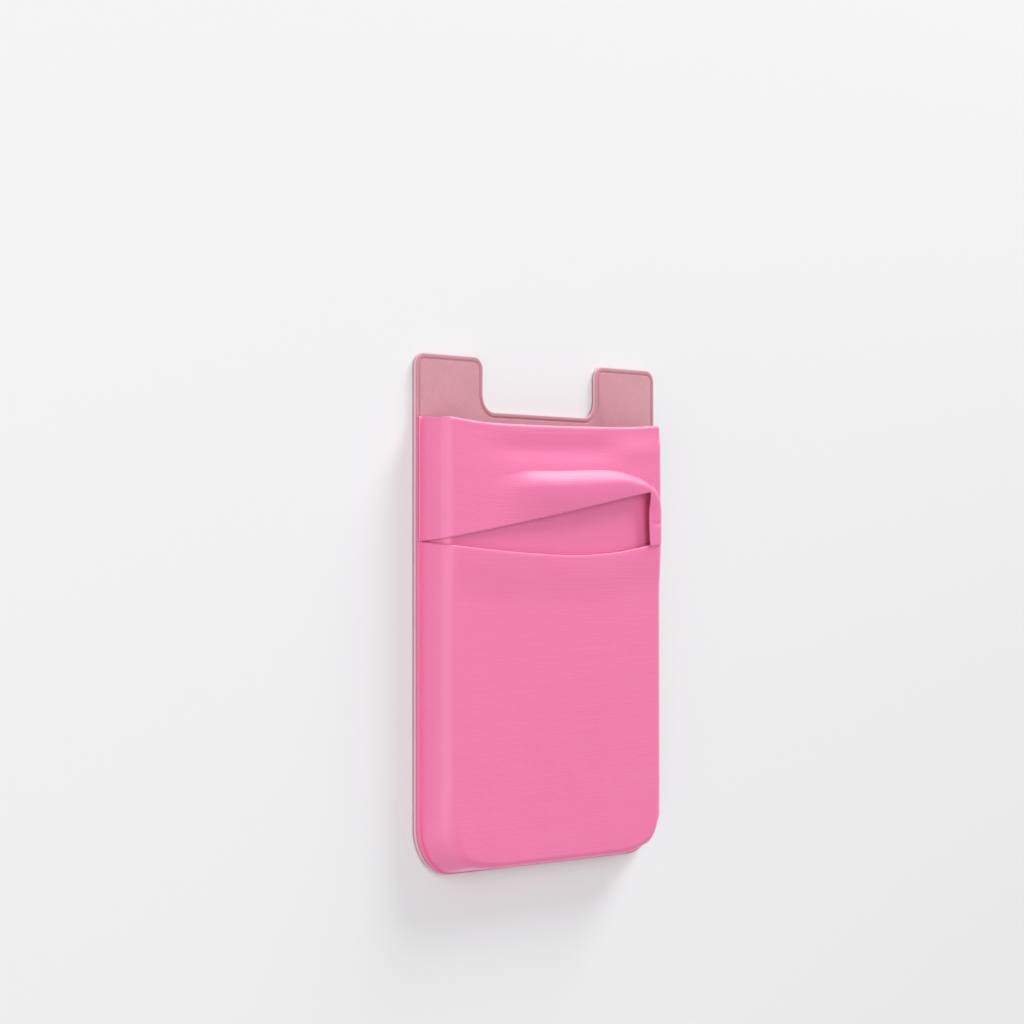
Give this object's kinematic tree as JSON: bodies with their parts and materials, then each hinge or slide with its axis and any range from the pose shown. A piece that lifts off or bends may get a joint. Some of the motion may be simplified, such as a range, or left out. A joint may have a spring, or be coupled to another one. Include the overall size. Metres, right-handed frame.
{
  "type": "stick on phone card holder",
  "caption": "Slim stretch-cloth card holder with an adhesive back, eared backing panel, rear card pocket and overlapped front pocket.",
  "frame": {"origin": "middle of the adhesive face that sticks to the surface", "axes": "+X across the holder, +Y up it towards the ears, +Z out of the adhesive face through the pockets"},
  "size_m": [0.0624, 0.084, 0.0079],
  "materials": {
    "adhesive": "satin tacky film",
    "backing": "dusty pink suede-like panel, matte",
    "cloth": "pink fine stretch knit, soft sheen"
  },
  "bodies": {
    "root": {"adhesive_sheet": "adhesive", "backing_panel": "backing", "rear_pocket_cloth": "cloth", "front_pocket_cloth": "cloth"}
  },
  "joints": []
}
